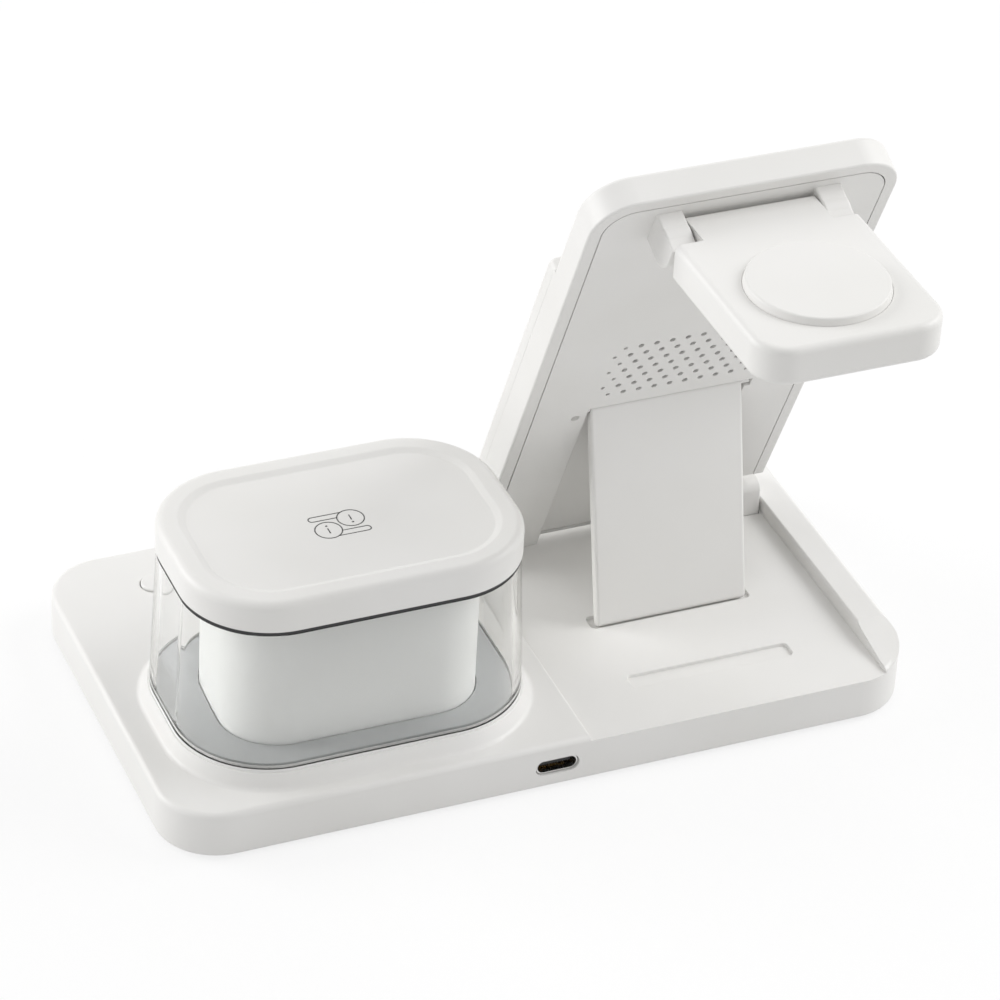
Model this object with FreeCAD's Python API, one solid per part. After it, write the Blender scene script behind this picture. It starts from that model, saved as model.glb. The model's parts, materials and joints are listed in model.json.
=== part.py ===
import FreeCAD, Part
import math
import os
from FreeCAD import Matrix, Vector

# Five-in-one wireless charger, millimetres.
# +Z is up, the origin is the middle of the rubber pad's underside.
# The charge port faces +Y, the phone stand is on the -X half, the night light on the +X half.

# Base housing
base_length = 160.0
base_depth = 90.0
base_corner = 12.5
base_edge_round = 1.2
base_foot_round = 0.8
base_wall = 2.0
underside_height = 0.8
platform_top = 11.0
recess_drop = 1.0
wall_rise = 3.2
wall_edge_round = 1.3
wall_inner_round = 0.6
lip_width = 4.5
wall_ramp_length = 16.0
lip_ramp_length = 12.0
side_wall_width = 7.0
step_round = 0.4
bottom_plate = 1.6
cover_seam = 0.2

# Rubber pad under the base
pad_length = 112.0
pad_depth = 52.0
pad_corner = 12.0
pad_seat_depth = 0.6

# Screws that hold the bottom cover
screw_shank_radius = 1.1
screw_head_radius = 2.1
screw_head_height = 1.0
screw_bite = 4.0
screw_clearance = 0.05
screw_tip_gap = 0.5
boss_radius = 3.2
base_screw_inset_x = 12.0
base_screw_inset_y = 12.0

# Charge port, a standard reversible connector
port_width = 8.94
port_height = 3.26
port_depth = 7.2
port_wall = 0.3
port_recess = 0.45
port_hole_clearance = 0.2
tongue_width = 6.6
tongue_height = 0.7
tongue_depth = 4.6
tongue_root = 1.2

# Circuit boards
board_thickness = 1.2
board_lift = 0.4
main_board_length = 48.0
main_board_depth = 30.0
main_board_gap = 0.6
board_boss_radius = 1.6
board_corner = 1.0
power_coil_side = 7.0
power_coil_pitch = 10.0
power_coil_inset = 8.0
chip_side = 5.0
chip_height = 1.0
chip_row = 16.0
capacitor_radius = 2.5
capacitor_pitch = 8.0
part_inset = 6.0
part_headroom = 0.6

# Push button of the light
button_inset_x = 21.6
button_inset_y = 13.0
button_radius = 2.95
button_hole_gap = 0.2
button_proud = 0.5
button_travel = 0.4
button_flange = 1.1
button_flange_height = 0.8
button_flange_gap = 0.3
button_board_side = 11.0
button_edge_round = 0.35
switch_side = 6.0
switch_plunger_rise = 0.9
switch_plunger_radius = 1.5
switch_gap = 0.1
switch_corner = 0.5

# Night light
lamp_end_gap = 5.3
lamp_port_gap = 3.0
lamp_stand_gap = 3.9
plinth_rise = 3.0
plinth_flare = 2.2
plinth_ledge = 0.4
plinth_cove = 1.2
plinth_edge_round = 0.3
shell_depth = 50.4
shell_corner = 19.3
shell_taper = 1.4
shell_height = 31.8
shell_wall = 1.8
core_inset_x = 9.5
core_inset_y = 7.4
core_corner = 12.0
core_wall = 1.8
ring_thickness = 1.0
ring_gap = 0.25
seal_height = 1.0
seal_inset = 0.1
seal_width = 1.4
lid_overhang = 0.2
lid_height = 6.5
lid_edge_round = 1.8
lid_wall = 2.0
lid_border = 4.4
lid_dish_depth = 0.6
lid_dish_slope = 1.4
lid_dish_round = 0.8
lid_brow_round = 1.0
lid_plate_thickness = 1.4
led_side = 3.5
led_height = 1.4
led_pitch = 8.0
led_columns = 4
led_rows = 2
led_corner = 0.4
led_board_gap = 1.5
wire_hole_radius = 2.5

# Charging coils
coil_thickness = 1.2
ferrite_thickness = 0.6
earbud_coil_radius = 17.0
phone_coil_radius = 22.0
watch_coil_radius = 12.0
coil_bore_share = 0.45
ferrite_margin = 0.8

# Folding phone panel, along its own slope from the hinge axis
panel_tilt = 65.8
panel_width = 64.8
panel_side_gap = 0.6
panel_reach = 121.6
panel_thickness = 6.8
panel_corner = 9.0
panel_back_round = 0.5
panel_front_round = 1.0
panel_wall = 1.8
panel_axis_rise = 4.5
shelf_depth = 17.9
back_cover_inset = 2.6
back_cover_thickness = 1.8
notch_reach = 8.8
panel_heel = 3.0
tail_wall = 1.2
phone_pad_thickness = 3.0
phone_pad_foot = 10.0
phone_pad_top = 93.0
phone_pad_corner = 2.0
phone_pad_round = 0.7
phone_coil_gap = 3.5
panel_board_length = 30.0
panel_board_gap = 0.5

# Hinge brackets at the panel's foot
bracket_width = 5.0
bracket_wall_gap = 0.5
bracket_back = 5.9
bracket_front = 4.6
bracket_rise = 8.2
bracket_sink = 0.8
bracket_round = 2.4
bracket_edge_round = 0.4
bracket_seam = 0.15
bracket_panel_gap = 0.3
hinge_pin_radius = 1.25
hinge_pin_bite = 6.0
hinge_pin_tip_gap = 0.5
pin_running_gap = 0.05
pin_seat_gap = 0.02

# Strut that props the panel
strut_width = 33.6
strut_thickness = 2.5
strut_hinge_reach = 47.5
strut_hinge_depth = 1.1
strut_lean = 12.4
strut_engage = 0.45
strut_floor_gap = 0.25
strut_slot_gap = 0.15
strut_side_gap = 0.7
strut_edge_round = 0.6
strut_pin_radius = 0.8
strut_pin_bite = 2.8
strut_pin_dimple_bite = 1.0
pocket_depth = 2.8
pocket_floor = 1.2
pocket_head_wall = 1.2
pocket_wall = 3.4
pocket_head = 1.7
tray_overlap = 0.5
dimple_radius = 0.9
dimple_depth = 0.9
dimple_gap = 2.4
dimple_drop = 1.0
hinge_notch_width = 1.3
hinge_notch_foot = 0.6
hinge_notch_depth = 1.5
slot_width = 4.2
slot_side_gap = 1.1
slot_pitch = 21.2
slot_corner = 1.05
slot_bevel = 0.12

# Ventilation grille above the strut
grille_columns = 10
grille_rows = 7
grille_pitch_x = 3.4
grille_pitch_y = 2.75
grille_hole_radius = 0.6
grille_end_radius = 0.42
grille_skin = 0.7
grille_margin = 1.2
grille_gap = 6.2
grille_stagger = 0.25

# Watch plate on its two ears
watch_axis_drop = 8.7
watch_axis_stand_off = 4.6
watch_width = 38.6
watch_reach = 46.5
watch_thickness = 8.0
watch_corner = 7.0
watch_edge_round = 1.4
watch_wall = 1.6
watch_bottom_plate = 1.4
watch_neck = 6.4
watch_heel = 2.4
watch_heel_round = 0.5
ear_width = 5.4
ear_radius = 4.2
ear_top = 4.0
ear_gap = 0.35
ear_edge_round = 0.4
watch_pin_radius = 1.0
watch_pin_margin = 1.0
puck_radius = 14.0
puck_top_radius = 13.6
puck_height = 1.5
puck_sink = 0.5
puck_seam = 0.05
puck_from_tip = 18.8
puck_edge_round = 0.5

# Heights and edges that follow from the sizes above
recess_floor = platform_top - recess_drop
wall_top = recess_floor + wall_rise
ceiling = recess_floor - base_wall
plate_top = underside_height + bottom_plate
recess_right = side_wall_width - base_length / 2
stand_x = recess_right + panel_side_gap + panel_width / 2
recess_left = stand_x + panel_width / 2 + panel_side_gap
lip_edge = lip_width - base_depth / 2
panel_axis_y = lip_edge + shelf_depth
plinth_spread = plinth_ledge + plinth_flare
lamp_space = base_length / 2 - lamp_end_gap - recess_left - lamp_stand_gap
shell_length = lamp_space - 2 * plinth_spread
lamp_x = base_length / 2 - lamp_end_gap - lamp_space / 2
lamp_y = base_depth / 2 - lamp_port_gap - plinth_spread - shell_depth / 2
core_length = shell_length - 2 * core_inset_x
core_depth = shell_depth - 2 * core_inset_y
button_x = base_length / 2 - button_inset_x
button_y = button_inset_y - base_depth / 2
plinth_top = platform_top + plinth_rise
shell_top = plinth_top + shell_height
lid_bottom = shell_top + seal_height
lid_top = lid_bottom + lid_height
board_bottom = plate_top + board_lift
board_top = board_bottom + board_thickness
tall_part = ceiling - board_top - part_headroom
half_panel = panel_thickness / 2
panel_axis_z = recess_floor + panel_axis_rise
pocket_width = strut_width + 2 * strut_side_gap
tray_half = pocket_width / 2 + pocket_wall
tray_head = strut_hinge_reach + pocket_head + pocket_head_wall
cover_ledge = back_cover_inset + panel_wall
phone_coil_reach = tray_head + phone_coil_gap + phone_coil_radius + ferrite_margin
watch_axis_reach = panel_reach - watch_axis_drop
watch_clear = half_panel + watch_axis_stand_off
ACROSS = Vector(1, 0, 0)


def rounded_wire(cx, cy, length, depth, radius, z):
    """Closed outline of a rectangle with round corners, level at height z."""
    x0, x1 = cx - length / 2, cx + length / 2
    y0, y1 = cy - depth / 2, cy + depth / 2
    k = radius * (1 - math.sqrt(0.5))
    corners = [
        ((x1 - radius, y0), (x1 - k, y0 + k), (x1, y0 + radius)),
        ((x1, y1 - radius), (x1 - k, y1 - k), (x1 - radius, y1)),
        ((x0 + radius, y1), (x0 + k, y1 - k), (x0, y1 - radius)),
        ((x0, y0 + radius), (x0 + k, y0 + k), (x0 + radius, y0)),
    ]
    edges = []
    for index, corner in enumerate(corners):
        start, middle, end = [Vector(x, y, z) for x, y in corner]
        edges.append(Part.Arc(start, middle, end).toShape())
        following = Vector(*corners[(index + 1) % 4][0], z)
        if end.distanceToPoint(following) > 1e-6:
            edges.append(Part.makeLine(end, following))
    return Part.Wire(edges)


def slab(cx, cy, length, depth, radius, z0, z1):
    """Rounded rectangle raised from z0 to z1."""
    face = Part.Face(rounded_wire(cx, cy, length, depth, radius, z0))
    return face.extrude(Vector(0, 0, z1 - z0))


def block(x0, x1, y0, y1, z0, z1):
    """Plain box between two corners."""
    return Part.makeBox(x1 - x0, y1 - y0, z1 - z0, Vector(x0, y0, z0))


def rod(radius, start, end):
    """Round bar between two points."""
    direction = end - start
    return Part.makeCylinder(radius, direction.Length, start, direction)


def flared(bottom, top):
    """Straight-sided solid between two level outlines."""
    return Part.makeLoft([bottom, top], True, True)


def level_edges(shape, z):
    """Edges that lie wholly at height z."""
    return [e for e in shape.Edges if all(abs(v.Z - z) < 1e-4 for v in e.Vertexes)
            and abs(e.BoundBox.ZMax - e.BoundBox.ZMin) < 1e-4]


def side_edges(shape, planes):
    """Edges that lie wholly in one of the upright planes X = planes."""
    return [e for e in shape.Edges if e.BoundBox.XLength < 1e-4
            and min(abs(e.BoundBox.XMin - x) for x in planes) < 1e-4]


def edges_inside(shape, z, cx, cy, reach_x, reach_y):
    """Edges at height z whose box stays within a reach of a centre."""
    found = []
    for edge in level_edges(shape, z):
        box = edge.BoundBox
        wide = max(abs(box.XMin - cx), abs(box.XMax - cx))
        deep = max(abs(box.YMin - cy), abs(box.YMax - cy))
        if wide < reach_x and deep < reach_y:
            found.append(edge)
    return found


def round_level(shape, z, radius):
    """Round the edges at height z."""
    return shape.makeFillet(radius, level_edges(shape, z))


def profile_x(points, x0, x1):
    """Closed side profile in Y and Z, carried along X."""
    corners = [Vector(x0, y, z) for y, z in points]
    face = Part.Face(Part.makePolygon(corners + corners[:1]))
    return face.extrude(Vector(x1 - x0, 0, 0))


def washer(radius, bore, cx, cy, z0, height):
    """Flat ring."""
    ring = Part.makeCylinder(radius, height, Vector(cx, cy, z0))
    if bore > 0:
        ring = ring.cut(Part.makeCylinder(bore, height, Vector(cx, cy, z0)))
    return ring


def in_stand(shape):
    """Carry a shape from the panel's own frame (hinge axis at its origin) to its place."""
    place = Matrix()
    place.rotateX(math.radians(panel_tilt))
    place.move(Vector(stand_x, panel_axis_y, panel_axis_z))
    return shape.transformed(place)


def stand_point(reach, height):
    """Y and Z of a point given along the panel's slope and across its thickness."""
    angle = math.radians(panel_tilt)
    y = panel_axis_y + reach * math.cos(angle) - height * math.sin(angle)
    z = panel_axis_z + reach * math.sin(angle) + height * math.cos(angle)
    return y, z


def base_screw_places():
    """Centres of the four screws in the underside."""
    x = base_length / 2 - base_screw_inset_x
    y = base_depth / 2 - base_screw_inset_y
    return [(-x, -y), (x, -y), (x, y), (-x, y)]


def screw(cx, cy, head_z, shank):
    """Pan-head screw that points up, its head's underside at head_z."""
    head = Part.makeCylinder(screw_head_radius, screw_head_height, Vector(cx, cy, head_z - screw_head_height))
    return head.fuse(Part.makeCylinder(screw_shank_radius, shank, Vector(cx, cy, head_z)))


def strut_line():
    """Strut hinge and the centre of its round foot, both as (Y, Z)."""
    hinge = stand_point(strut_hinge_reach, strut_hinge_depth - half_panel)
    foot_z = recess_floor - strut_engage + strut_thickness / 2
    foot_y = hinge[0] + (hinge[1] - foot_z) * math.tan(math.radians(strut_lean))
    return hinge, (foot_y, foot_z)


def slot_cut(usb_edge):
    """Groove in the recess floor whose edge nearest the port is at usb_edge."""
    length = strut_width + 2 * slot_side_gap
    depth = strut_engage + strut_floor_gap
    centre = usb_edge - slot_width / 2
    groove = slab(stand_x, centre, length, slot_width, slot_corner, recess_floor - depth, recess_floor)
    low = rounded_wire(stand_x, centre, length, slot_width, slot_corner, recess_floor - slot_bevel)
    spread = 4 * slot_bevel
    high = rounded_wire(stand_x, centre, length + spread, slot_width + spread, slot_corner + spread / 2,
                        recess_floor + slot_bevel)
    return groove.fuse(flared(low, high))


def bracket_span(side, margin):
    """X limits of a hinge bracket, -1 beside the raised wall and 1 beside the platform."""
    outer = panel_width / 2 + panel_side_gap - bracket_wall_gap
    limits = sorted((stand_x + side * (outer + margin), stand_x + side * (outer - bracket_width - margin)))
    return limits[0], limits[1]


def rim_inner_round():
    """Sliver taken off the rim's inner top edge: along the wall, round the corner and along the lip."""
    r = wall_inner_round
    k = r * math.sqrt(0.5)
    x = recess_right
    outline = [(x - r, wall_top), (x - r, wall_top + 1), (x, wall_top + 1), (x, wall_top - r)]
    corners = [Vector(px, lip_edge, pz) for px, pz in outline]
    edges = [Part.makeLine(start, end) for start, end in zip(corners, corners[1:])]
    crest = Vector(x - r + k, lip_edge, wall_top - r + k)
    edges.append(Part.Arc(corners[-1], crest, corners[0]).toShape())
    section = Part.Face(Part.Wire(edges))
    pivot = Vector(x, lip_edge, 0)
    upright = Vector(0, 0, 1)
    turned = section.copy()
    turned.rotate(pivot, upright, 90)
    wall = section.extrude(Vector(0, base_depth, 0))
    lip = turned.extrude(Vector(base_length, 0, 0))
    return wall.fuse([section.revolve(pivot, upright, 90), lip])


def recess_space():
    """Room above the recess floor, with a quarter round where the step meets the platform."""
    r = step_round
    k = r * math.sqrt(0.5)
    high = wall_top + 1
    points = [(recess_left + r, platform_top), (recess_left + r, high), (recess_right, high)]
    points += [(recess_right, recess_floor), (recess_left, recess_floor), (recess_left, platform_top - r)]
    corners = [Vector(x, lip_edge, z) for x, z in points]
    edges = [Part.makeLine(a, b) for a, b in zip(corners, corners[1:])]
    crest = Vector(recess_left + r - k, lip_edge, platform_top - r + k)
    edges.append(Part.Arc(corners[-1], crest, corners[0]).toShape())
    return Part.Face(Part.Wire(edges)).extrude(Vector(0, base_depth, 0))


def plinth_wire(spread, z):
    """Outline of the lamp's plinth, wider than the clear shell by spread."""
    return rounded_wire(lamp_x, lamp_y, shell_length + 2 * spread, shell_depth + 2 * spread,
                        shell_corner + spread, z)


def plinth():
    """Flared step that the clear shell stands on, its crown slightly rounded."""
    step = flared(plinth_wire(plinth_spread, recess_floor), plinth_wire(plinth_ledge, plinth_top))
    return round_level(step, plinth_top, plinth_edge_round)


def plinth_seam(body):
    """Edges where the plinth rises out of the platform."""
    reach_x = shell_length / 2 + plinth_spread
    reach_y = shell_depth / 2 + plinth_spread
    return edges_inside(body, platform_top, lamp_x, lamp_y, reach_x, reach_y)


def base_top_cover():
    """Moulded top housing with the recess, the raised wall and lip, and the lamp's plinth."""
    body = slab(0, 0, base_length, base_depth, base_corner, underside_height, platform_top)
    body = round_level(body, platform_top, base_edge_round)
    body = round_level(body, underside_height, base_foot_round)
    rim = slab(0, 0, base_length, base_depth, base_corner, platform_top / 2, wall_top)
    rim = round_level(rim, wall_top, wall_edge_round)
    far = base_length
    keep = block(-far, recess_right, -far, far, 0, wall_top + 1)
    keep = keep.fuse(block(-far, recess_left, -far, lip_edge, 0, wall_top + 1))
    rim = rim.common(keep).cut(rim_inner_round())
    front = base_depth / 2
    ramp_end = front - wall_ramp_length
    ramp = [(ramp_end, wall_top), (front + 1, recess_floor)]
    ramp += [(front + 1, wall_top + 1), (ramp_end, wall_top + 1)]
    rim = rim.cut(profile_x(ramp, -far, recess_right))
    lip_start = recess_left - lip_ramp_length
    slope = [Vector(lip_start, -far, wall_top), Vector(recess_left, -far, platform_top)]
    slope += [Vector(recess_left, -far, wall_top + 1), Vector(lip_start, -far, wall_top + 1)]
    wedge = Part.Face(Part.makePolygon(slope + slope[:1])).extrude(Vector(0, 2 * far, 0))
    rim = rim.cut(wedge)
    body = body.cut(recess_space()).fuse(rim)
    body = body.fuse(plinth()).removeSplitter()
    body = body.makeFillet(plinth_cove, plinth_seam(body))
    inner_corner = base_corner - base_wall
    cavity = slab(0, 0, base_length - 2 * base_wall, base_depth - 2 * base_wall, inner_corner, 0, ceiling)
    body = body.cut(cavity)
    for cx, cy in base_screw_places():
        boss = Part.makeCylinder(boss_radius, ceiling - plate_top, Vector(cx, cy, plate_top))
        hole = Part.makeCylinder(screw_shank_radius + screw_clearance, screw_bite, Vector(cx, cy, plate_top))
        body = body.fuse(boss).cut(hole)
    slot_edge = strut_line()[1][0] + strut_thickness / 2 + strut_slot_gap
    body = body.cut(slot_cut(slot_edge)).cut(slot_cut(slot_edge + slot_pitch))
    for side in (-1, 1):
        x0, x1 = bracket_span(side, bracket_seam)
        y0 = panel_axis_y - bracket_front - bracket_seam
        y1 = panel_axis_y + bracket_back + bracket_seam
        body = body.cut(block(x0, x1, y0, y1, recess_floor - bracket_sink, recess_floor + 1))
        cx = (x0 + x1) / 2
        spot = Vector(cx, panel_axis_y, ceiling)
        body = body.cut(Part.makeCylinder(screw_shank_radius + screw_clearance, base_wall, spot))
    port_z = board_top + port_height / 2
    body = body.cut(port_outline(port_hole_clearance, base_depth / 2 - 2 * base_wall, base_depth, port_z))
    spot = Vector(button_x, button_y, ceiling - 1)
    body = body.cut(Part.makeCylinder(button_radius + button_hole_gap, platform_top, spot))
    wires = Part.makeCylinder(wire_hole_radius, plinth_top, Vector(lamp_x, lamp_y, ceiling - 1))
    return body.cut(wires).removeSplitter()


def port_outline(margin, y0, y1, z):
    """Flat-sided oval of the charge port, grown by margin, between two Y planes."""
    height = port_height + 2 * margin
    face = slab(0, 0, port_width + 2 * margin, height, height / 2 - 1e-4, 0, y1 - y0)
    face.rotate(Vector(0, 0, 0), ACROSS, 90)
    face.translate(Vector(0, y1, z))
    return face


def base_bottom_cover():
    """Flat plate that drops into the housing, with seats for the pad, the screws and the boards."""
    inset = base_wall + cover_seam
    plate = slab(0, 0, base_length - 2 * inset, base_depth - 2 * inset, base_corner - inset,
                 underside_height, plate_top)
    seat = slab(0, 0, pad_length + 2 * cover_seam, pad_depth + 2 * cover_seam, pad_corner + cover_seam,
                underside_height - 1, underside_height + pad_seat_depth)
    plate = plate.cut(seat)
    for cx, cy in base_screw_places():
        spot = Vector(cx, cy, 0)
        plate = plate.cut(Part.makeCylinder(screw_shank_radius + screw_clearance, plate_top, spot))
        head_room = underside_height + screw_head_height
        plate = plate.cut(Part.makeCylinder(screw_head_radius + screw_clearance, head_room, spot))
    for cx, cy, length, depth in (main_board_place(), button_board_place()):
        for sx in (-1, 1):
            for sy in (-1, 1):
                x = cx + sx * (length / 2 - 2 * board_boss_radius)
                y = cy + sy * (depth / 2 - 2 * board_boss_radius)
                plate = plate.fuse(Part.makeCylinder(board_boss_radius, board_lift, Vector(x, y, plate_top)))
    return plate.removeSplitter()


def main_board_place():
    """Centre and size of the main board, just behind the port's wall."""
    edge = base_depth / 2 - base_wall - main_board_gap
    return 0, edge - main_board_depth / 2, main_board_length, main_board_depth


def button_board_place():
    """Centre and size of the small board under the button."""
    return button_x, button_y, button_board_side, button_board_side


def anti_slip_pad():
    """One-piece rubber pad, glued into its seat."""
    return slab(0, 0, pad_length, pad_depth, pad_corner, 0, underside_height + pad_seat_depth)


def base_screws():
    """Four screws from the underside into the housing's bosses."""
    head_z = underside_height + screw_head_height
    shank = plate_top - head_z + screw_bite - screw_tip_gap
    return Part.makeCompound([screw(cx, cy, head_z, shank) for cx, cy in base_screw_places()])


def board(place):
    """Bare circuit board on its bosses."""
    cx, cy, length, depth = place
    return slab(cx, cy, length, depth, board_corner, board_bottom, board_top)


def board_components():
    """Power coils, chips and capacitors on the main board."""
    cx, cy, length, depth = main_board_place()
    back = cy - depth / 2
    left = cx - length / 2
    pieces = []
    for index in range(3):
        x = left + power_coil_inset + index * power_coil_pitch
        pieces.append(slab(x, back + part_inset, power_coil_side, power_coil_side, board_corner,
                           board_top, board_top + tall_part))
        pieces.append(slab(x, back + chip_row, chip_side, chip_side, board_corner / 2,
                           board_top, board_top + chip_height))
    for index in range(2):
        spot = Vector(left + length - part_inset, back + part_inset + index * capacitor_pitch, board_top)
        pieces.append(Part.makeCylinder(capacitor_radius, tall_part, spot))
    return Part.makeCompound(pieces)


def port_shell():
    """Drawn metal shell of the charge port, soldered to the board."""
    y1 = base_depth / 2 - port_recess
    z = board_top + port_height / 2
    shell = port_outline(0, y1 - port_depth, y1, z)
    return shell.cut(port_outline(-port_wall, y1 - port_depth + port_wall, y1 + 1, z))


def port_tongue():
    """Black contact tongue inside the port, with the block that carries it."""
    y1 = base_depth / 2 - port_recess
    z = board_top + port_height / 2
    back = y1 - port_depth + port_wall
    root = port_outline(-port_wall, back, back + tongue_root, z)
    tip = back + tongue_root + tongue_depth
    tongue = block(-tongue_width / 2, tongue_width / 2, back + tongue_root, tip,
                   z - tongue_height / 2, z + tongue_height / 2)
    return root.fuse(tongue).removeSplitter()


def button_cap():
    """Round button with the flange that keeps it in the housing."""
    flange_top = ceiling - button_flange_gap
    centre = Vector(button_x, button_y, flange_top - button_flange_height)
    flange = Part.makeCylinder(button_radius + button_flange, button_flange_height, centre)
    stem = Part.makeCylinder(button_radius, platform_top + button_proud - centre.z, centre)
    cap = flange.fuse(stem).removeSplitter()
    return round_level(cap, platform_top + button_proud, button_edge_round)


def button_switch():
    """Click switch on the small board, its plunger under the button."""
    flange_bottom = ceiling - button_flange_gap - button_flange_height
    top = flange_bottom - button_travel - switch_gap
    body = slab(button_x, button_y, switch_side, switch_side, switch_corner,
                board_top, top - switch_plunger_rise)
    plunger = Part.makeCylinder(switch_plunger_radius, top - board_top, Vector(button_x, button_y, board_top))
    return body.fuse(plunger).removeSplitter()


def shell_wire(margin, share):
    """Outline of the clear shell, grown by margin, at a share of its height."""
    draft = shell_taper * share
    return rounded_wire(lamp_x, lamp_y, shell_length + 2 * (margin - draft), shell_depth + 2 * (margin - draft),
                        shell_corner + margin - draft, plinth_top + shell_height * share)


def lamp_shell():
    """Clear tapered wall around the light."""
    outer = flared(shell_wire(0, 0), shell_wire(0, 1))
    return outer.cut(flared(shell_wire(-shell_wall, 0), shell_wire(-shell_wall, 1)))


def core_slab(margin, z0, z1):
    """Solid with the core's outline, grown by margin."""
    return slab(lamp_x, lamp_y, core_length + 2 * margin, core_depth + 2 * margin, core_corner + margin, z0, z1)


def lamp_core():
    """White diffuser that stands inside the clear shell and carries the lid."""
    return core_slab(0, plinth_top, lid_bottom).cut(core_slab(-core_wall, plinth_top, lid_bottom))


def lamp_floor_ring():
    """Grey floor between the diffuser and the clear shell."""
    share = ring_thickness / shell_height
    margin = -shell_wall - ring_gap - shell_taper * share
    outer = Part.Face(shell_wire(margin, 0)).extrude(Vector(0, 0, ring_thickness))
    return outer.cut(core_slab(ring_gap, plinth_top - 1, plinth_top + ring_thickness + 1))


def led_board():
    """Board of the night light, lying on the plinth inside the diffuser."""
    margin = -core_wall - led_board_gap
    return core_slab(margin, plinth_top, plinth_top + board_thickness)


def led_chips():
    """Grid of light chips on their board."""
    chips = []
    z = plinth_top + board_thickness
    for row in range(led_rows):
        for column in range(led_columns):
            x = lamp_x + (column - (led_columns - 1) / 2) * led_pitch
            y = lamp_y + (row - (led_rows - 1) / 2) * led_pitch
            chips.append(slab(x, y, led_side, led_side, led_corner, z, z + led_height))
    return Part.makeCompound(chips)


def lid_wire(margin, z):
    """Outline of the lid, grown by margin, at height z."""
    grow = 2 * (lid_overhang - shell_taper + margin)
    return rounded_wire(lamp_x, lamp_y, shell_length + grow, shell_depth + grow, shell_corner + grow / 2, z)


def lid_slab(margin, z0, z1):
    """Solid with the lid's outline, grown by margin."""
    return Part.Face(lid_wire(margin, z0)).extrude(Vector(0, 0, z1 - z0))


def lid_seal():
    """Dark gasket between the clear shell and the lid."""
    outer = lid_slab(-lid_overhang - seal_inset, shell_top, lid_bottom)
    return outer.cut(lid_slab(-lid_overhang - seal_inset - seal_width, shell_top, lid_bottom))


def lamp_lid():
    """Lid that the earbud case lies on, with a shallow dished top."""
    lid = round_level(lid_slab(0, lid_bottom, lid_top), lid_top, lid_edge_round)
    lid = lid.cut(lid_slab(-lid_wall, lid_bottom, lid_top - lid_wall))
    dish_floor = lid_top - lid_dish_depth
    dish = flared(lid_wire(-lid_border - lid_dish_slope, dish_floor), lid_wire(-lid_border, lid_top))
    lid = lid.cut(dish)
    lid = round_level(lid, dish_floor, lid_dish_round)
    inset = lid_overhang - shell_taper - lid_edge_round
    brow = edges_inside(lid, lid_top, lamp_x, lamp_y, shell_length / 2 + inset, shell_depth / 2 + inset)
    return lid.makeFillet(lid_brow_round, brow)


def lid_plate():
    """Plate that closes the lid from below and carries the earbud coil."""
    return lid_slab(-lid_wall - cover_seam, lid_bottom, lid_bottom + lid_plate_thickness)


def coil_pair(radius, cx, cy, z):
    """Ferrite disc and the flat wound coil that lies on it."""
    ferrite = washer(radius + ferrite_margin, 0, cx, cy, z, ferrite_thickness)
    coil = washer(radius, radius * coil_bore_share, cx, cy, z + ferrite_thickness, coil_thickness)
    return ferrite, coil


def hinge_bracket(side):
    """Upright post that carries one end of the panel's hinge, let into the recess floor."""
    x0, x1 = bracket_span(side, 0)
    top = recess_floor + bracket_rise
    y0 = panel_axis_y - bracket_front
    y1 = panel_axis_y + bracket_back
    post = block(x0, x1, y0, y1, recess_floor - bracket_sink, top)
    crest = [e for e in level_edges(post, top) if abs(e.Vertexes[0].Y - e.Vertexes[1].Y) < 1e-6]
    post = post.makeFillet(bracket_round, crest)
    post = post.makeFillet(bracket_edge_round, side_edges(post, (x0, x1)))
    axis = Vector(x0 - 1, panel_axis_y, panel_axis_z)
    post = post.cut(rod(hinge_pin_radius + pin_seat_gap, axis, axis + Vector(bracket_width + 2, 0, 0)))
    hole = Vector((x0 + x1) / 2, panel_axis_y, recess_floor - bracket_sink)
    return post.cut(Part.makeCylinder(screw_shank_radius + screw_clearance, screw_bite, hole))


def bracket_screws():
    """Screws from inside the housing up into the brackets."""
    screws = []
    for side in (-1, 1):
        x0, x1 = bracket_span(side, 0)
        shank = base_wall - bracket_sink + screw_bite - screw_tip_gap
        screws.append(screw((x0 + x1) / 2, panel_axis_y, ceiling, shank))
    return Part.makeCompound(screws)


def barrel_half():
    """Half the length of the panel's hinge barrel, between the brackets."""
    outer = panel_width / 2 + panel_side_gap - bracket_wall_gap
    return outer - bracket_width - bracket_panel_gap


def hinge_pins():
    """Two steel pins from the brackets into the panel's barrel."""
    pins = []
    for side in (-1, 1):
        outer = panel_width / 2 + panel_side_gap - bracket_wall_gap
        start = Vector(stand_x + side * outer, panel_axis_y, panel_axis_z)
        end = Vector(stand_x + side * (barrel_half() - hinge_pin_bite), panel_axis_y, panel_axis_z)
        pins.append(rod(hinge_pin_radius, start, end))
    return Part.makeCompound(pins)


def panel_slab(inset, foot, z0, z1):
    """Panel outline drawn in by inset, square at its foot, between two depths."""
    top = panel_reach - inset
    width = panel_width - 2 * inset
    radius = panel_corner - inset
    full = slab(0, (top + foot - panel_width) / 2, width, top - foot + panel_width, radius, z0, z1)
    return full.cut(block(-panel_width, panel_width, foot - 2 * panel_width, foot, z0 - 1, z1 + 1))


def pocket_box():
    """Space in the panel's back that the folded strut lies in."""
    head = strut_hinge_reach + pocket_head
    half = pocket_width / 2
    return block(-half, half, -2 * half_panel, head, -half_panel - 1, pocket_depth - half_panel)


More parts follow.
